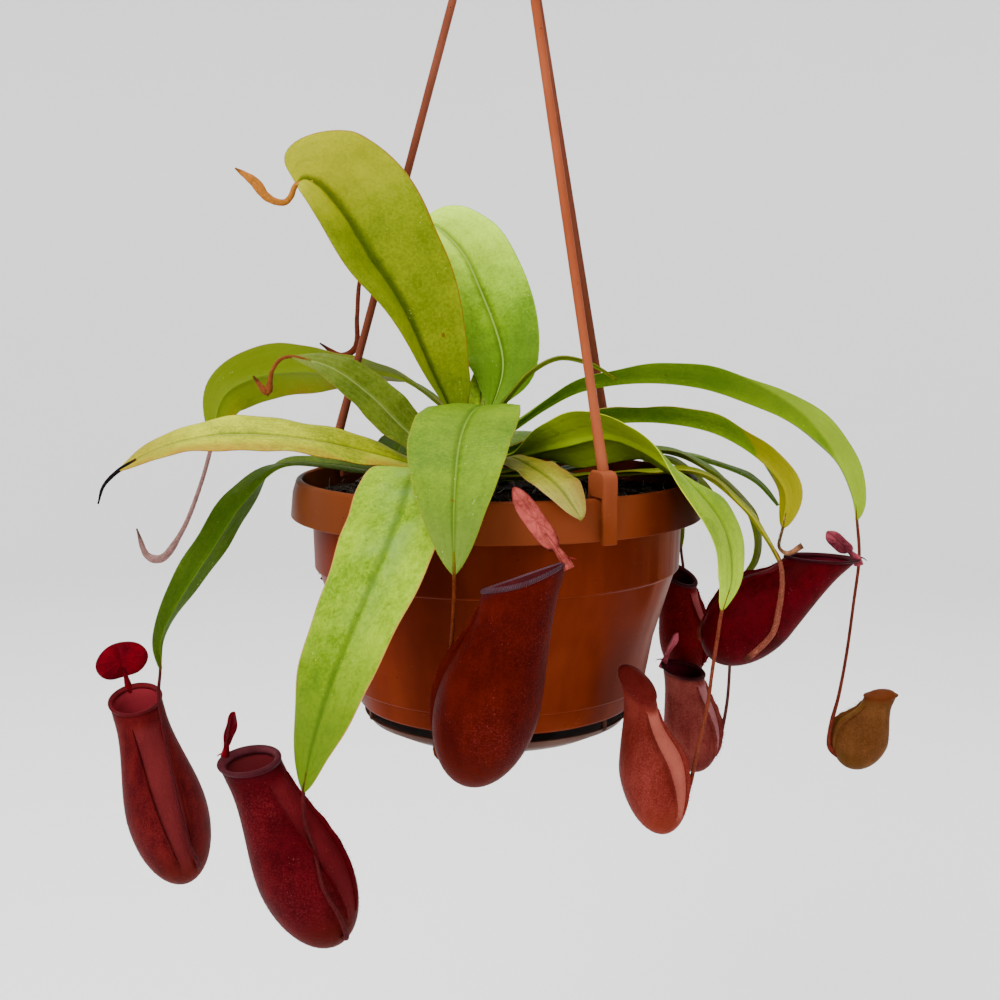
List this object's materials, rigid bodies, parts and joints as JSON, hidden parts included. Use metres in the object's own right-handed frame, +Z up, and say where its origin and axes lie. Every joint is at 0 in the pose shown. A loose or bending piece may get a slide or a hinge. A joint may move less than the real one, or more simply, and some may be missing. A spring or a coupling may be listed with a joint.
{
  "type": "hanging pitcher plant",
  "caption": "Tropical pitcher plant with strap leaves and dangling red pitchers, in a terracotta-coloured plastic hanging pot with a clip-on saucer and a rod hanger.",
  "frame": {"origin": "top inner point of the hook, where a rail or nail carries the hanger", "axes": "+Z up, along the pot's axis from the saucer to the hook; -Y the side seen in the picture; +X to its right"},
  "size_m": [0.3086, 0.237, 0.4374],
  "materials": {
    "pot_plastic": "satin",
    "saucer_plastic": "satin",
    "hanger_plastic": "satin",
    "potting_mix": "matte",
    "stem": "satin",
    "yellow_leaf": "satin",
    "light_leaf": "satin",
    "green_leaf": "satin",
    "dark_leaf": "satin",
    "red_pitcher": "satin",
    "brick_pitcher": "satin",
    "olive_pitcher": "satin",
    "tendril_tip": "matte"
  },
  "bodies": {
    "root": {"pot": "pot_plastic", "saucer": "saucer_plastic", "hanger": "hanger_plastic", "soil": "potting_mix", "crown": "stem", "leaf_tall_front": "yellow_leaf", "leaf_tall_back": "light_leaf", "leaf_arch_left": "green_leaf", "leaf_short_left": "green_leaf", "leaf_level_left": "light_leaf", "leaf_long_left": "dark_leaf", "leaf_broad_front": "light_leaf", "leaf_middle_front": "light_leaf", "leaf_short_front": "light_leaf", "leaf_near_right": "light_leaf", "leaf_under_right": "green_leaf", "leaf_cut_right": "yellow_leaf", "leaf_twisted_right": "light_leaf", "leaf_dark_right": "dark_leaf", "leaf_long_right": "light_leaf", "leaf_young_curl": "green_leaf", "leaf_young_back": "light_leaf", "leaf_back_right": "green_leaf", "leaf_low_back_right": "green_leaf", "leaf_middle_back": "green_leaf", "leaf_low_back_left": "dark_leaf", "pitcher_long_left": "red_pitcher", "pitcher_broad_front": "red_pitcher", "pitcher_middle_front": "red_pitcher", "pitcher_under_right": "red_pitcher", "pitcher_low_back_right": "red_pitcher", "pitcher_back_right": "red_pitcher", "pitcher_middle_back": "red_pitcher", "pitcher_low_back_left": "red_pitcher", "pitcher_near_right": "brick_pitcher", "pitcher_long_right": "olive_pitcher", "bud_tall_front": "tendril_tip", "bud_tall_back": "tendril_tip", "bud_arch_left": "tendril_tip", "bud_short_left": "tendril_tip", "dry_tip_level_left": "tendril_tip", "cut_tendril_cut_right": "tendril_tip", "dry_tendril_twisted_right": "tendril_tip"}
  },
  "joints": []
}
